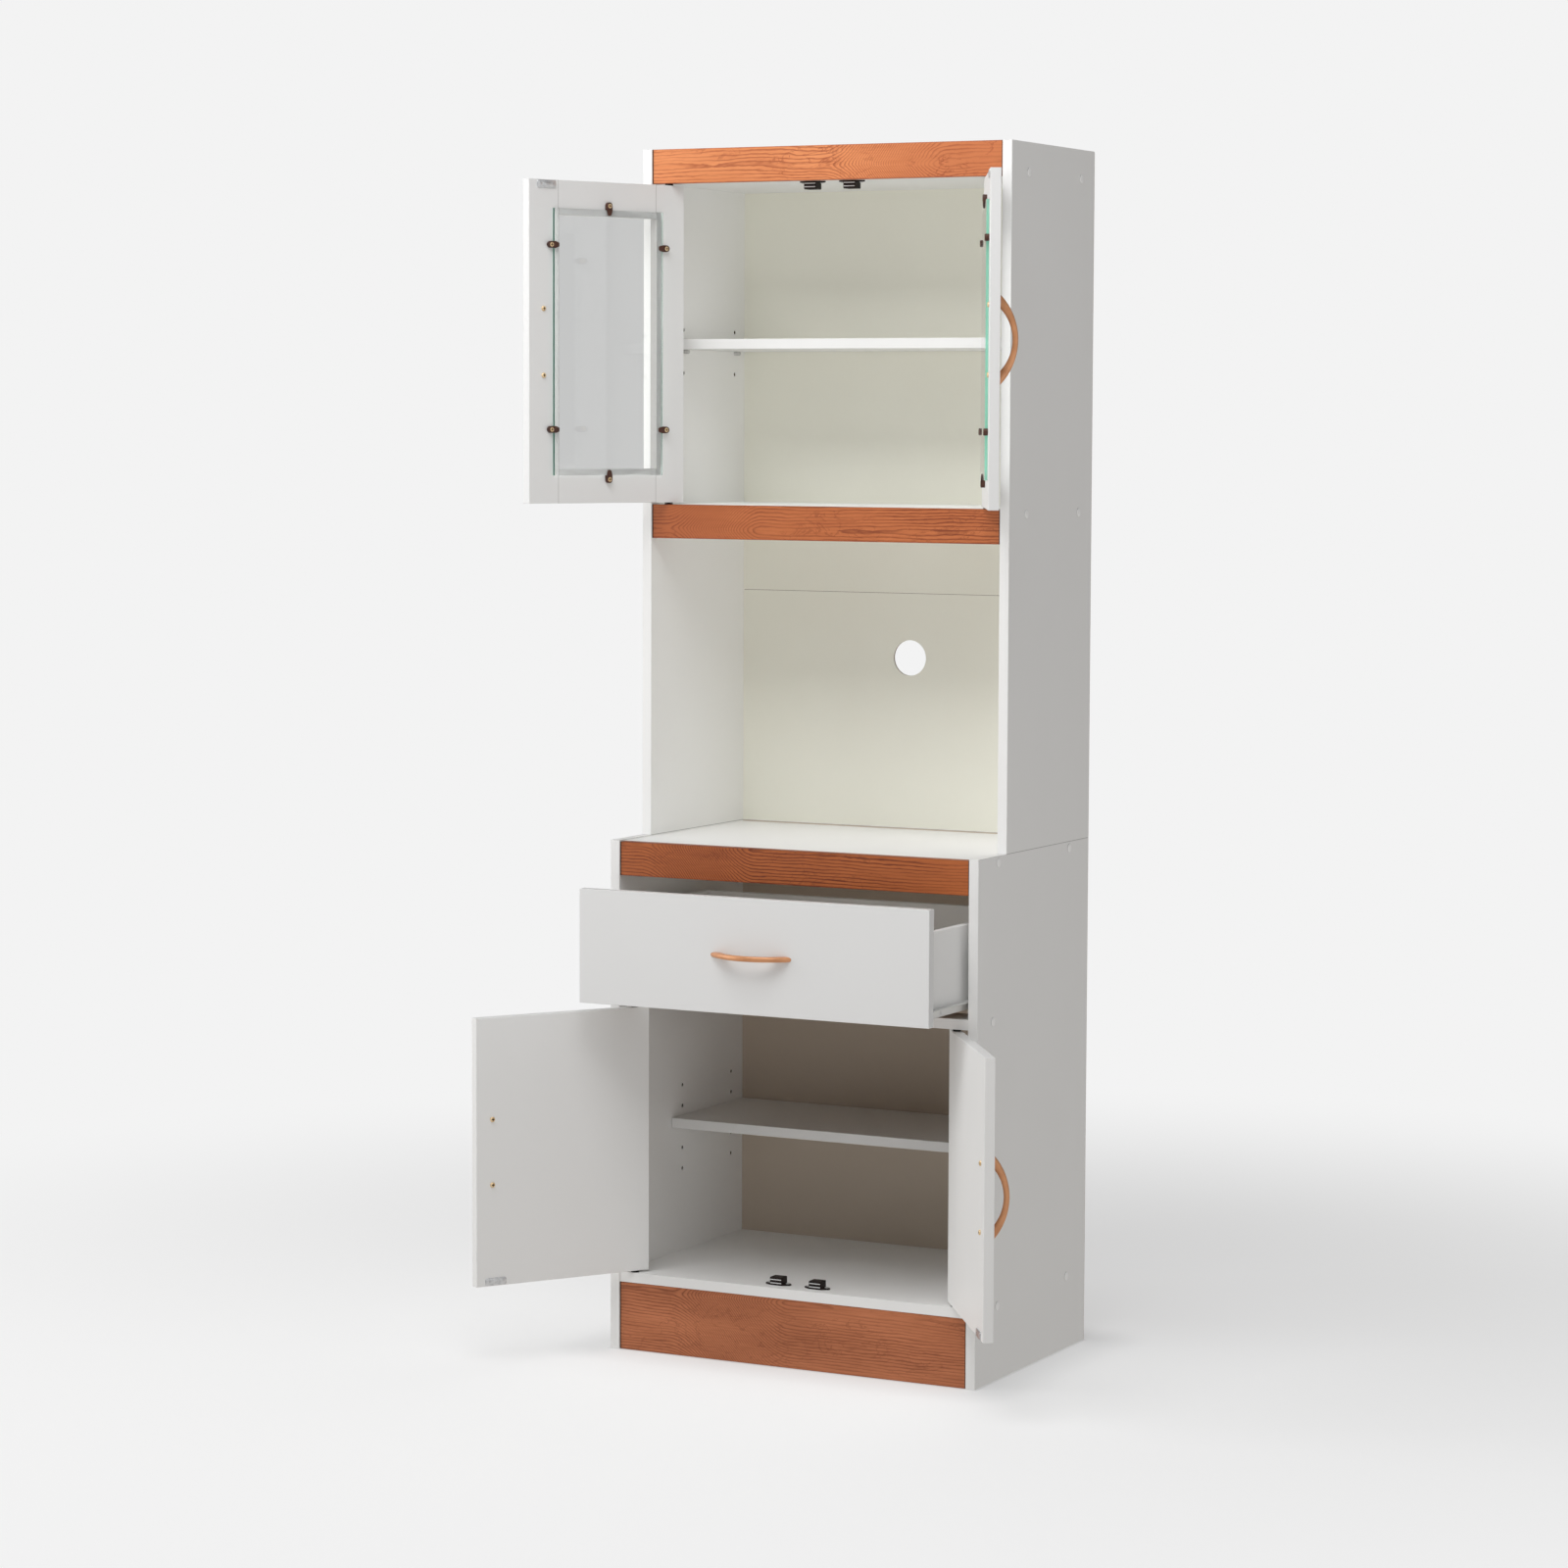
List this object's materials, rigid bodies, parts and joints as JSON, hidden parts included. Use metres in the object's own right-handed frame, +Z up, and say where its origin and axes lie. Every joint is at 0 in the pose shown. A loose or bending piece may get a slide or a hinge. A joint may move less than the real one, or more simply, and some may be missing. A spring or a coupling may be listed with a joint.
{
  "type": "tall kitchen unit for a microwave oven",
  "caption": "Tall white kitchen unit with a drawer over a two-door cupboard, an open bay for a microwave oven and a cupboard with two glazed doors above, trimmed with wood-look strips.",
  "frame": {"origin": "on the floor, in the middle of the width, in the wall plane behind the back panels", "axes": "+Z up, +X to the right seen from the front, the doors and drawer face -Y and +Y goes into the wall"},
  "size_m": [0.8504, 0.6, 1.775],
  "materials": {
    "white_melamine": "satin white melamine on particle board",
    "cherry_foil": "satin cherry-look foil, grain along the board",
    "white_hardboard": "white lacquered hardboard",
    "beech_dowel": "bare fluted beech",
    "brown_plastic": "dark brown moulded plastic",
    "white_plastic": "white moulded plastic",
    "zinc_steel": "bright zinc plate",
    "brass_screws": "yellow zinc plate",
    "white_steel": "white powder coat",
    "clear_glass": "clear float glass with a green cut edge",
    "copper_handle": "satin copper lacquer"
  },
  "bodies": {
    "cabinet": {"base_side_left": "white_melamine", "base_side_right": "white_melamine", "hutch_side_left": "white_melamine", "hutch_side_right": "white_melamine", "base_top_panel": "white_melamine", "base_strip": "cherry_foil", "drawer_rail": "white_melamine", "base_floor": "white_melamine", "plinth": "cherry_foil", "base_back": "white_hardboard", "hutch_top_panel": "white_melamine", "top_strip": "cherry_foil", "middle_panel": "white_melamine", "middle_strip": "cherry_foil", "hutch_back_upper": "white_hardboard", "hutch_back_lower": "white_hardboard", "shelves": "white_melamine", "shelf_pins": "brown_plastic", "cabinet_screws": "zinc_steel", "screw_caps": "white_plastic", "dowels": "beech_dowel", "catch_housings": "brown_plastic", "catch_plates": "zinc_steel", "cabinet_runners": "white_steel", "hinge_bushes": "brown_plastic"},
    "upper_left_door": {"upper_left_door_stiles": "white_melamine", "upper_left_door_rails": "white_melamine", "upper_left_door_glass": "clear_glass", "upper_left_door_clips": "brown_plastic", "upper_left_door_screws": "brass_screws", "upper_left_door_handle": "copper_handle", "upper_left_door_strike": "zinc_steel", "upper_left_door_pivots": "brown_plastic"},
    "upper_right_door": {"upper_right_door_stiles": "white_melamine", "upper_right_door_rails": "white_melamine", "upper_right_door_glass": "clear_glass", "upper_right_door_clips": "brown_plastic", "upper_right_door_screws": "brass_screws", "upper_right_door_handle": "copper_handle", "upper_right_door_strike": "zinc_steel", "upper_right_door_pivots": "brown_plastic"},
    "lower_left_door": {"lower_left_door_panel": "white_melamine", "lower_left_door_handle": "copper_handle", "lower_left_door_screws": "brass_screws", "lower_left_door_strike": "zinc_steel", "lower_left_door_pivots": "brown_plastic"},
    "lower_right_door": {"lower_right_door_panel": "white_melamine", "lower_right_door_handle": "copper_handle", "lower_right_door_screws": "brass_screws", "lower_right_door_strike": "zinc_steel", "lower_right_door_pivots": "brown_plastic"},
    "drawer": {"drawer_front": "white_melamine", "drawer_sides": "white_melamine", "drawer_back": "white_melamine", "drawer_bottom": "white_hardboard", "drawer_runners": "white_steel", "drawer_handle": "copper_handle", "drawer_screws": "zinc_steel"},
    "cabinet_rollers": {"cabinet_rollers": "white_plastic"},
    "drawer_rollers": {"drawer_rollers": "white_plastic"}
  },
  "joints": [
    {"name": "upper_left_door_swing", "type": "hinge", "parent": "cabinet", "child": "upper_left_door", "pos_m": [-0.261, -0.2825, 1.489], "axis": [0, 0, -1], "range_deg": [-113, 22]},
    {"name": "upper_right_door_swing", "type": "hinge", "parent": "cabinet", "child": "upper_right_door", "pos_m": [0.261, -0.2825, 1.489], "axis": [0, 0, 1], "range_deg": [-117, 18]},
    {"name": "lower_left_door_swing", "type": "hinge", "parent": "cabinet", "child": "lower_left_door", "pos_m": [-0.2635, -0.3765, 0.316], "axis": [0, 0, -1], "range_deg": [-123, 12]},
    {"name": "lower_right_door_swing", "type": "hinge", "parent": "cabinet", "child": "lower_right_door", "pos_m": [0.2635, -0.3765, 0.316], "axis": [0, 0, 1], "range_deg": [-125.5, 9.5]},
    {"name": "drawer_slide", "type": "slide", "parent": "cabinet", "child": "drawer", "axis": [0, -1, 0], "range_m": [-0.123, 0.14]},
    {"name": "cabinet_roller_spin", "type": "hinge", "parent": "cabinet", "child": "cabinet_rollers", "pos_m": [0, -0.36, 0.548], "axis": [1, 0, 0], "range_deg": [-1150, 1300]},
    {"name": "drawer_roller_spin", "type": "hinge", "parent": "drawer", "child": "drawer_rollers", "pos_m": [0, -0.154, 0.5478], "axis": [1, 0, 0], "range_deg": [-1150, 1300]}
  ],
  "couplings": [
    {"joint": "cabinet_roller_spin", "follows": "drawer_slide", "rad_per_m": 158.73},
    {"joint": "drawer_roller_spin", "follows": "drawer_slide", "rad_per_m": 158.73}
  ]
}
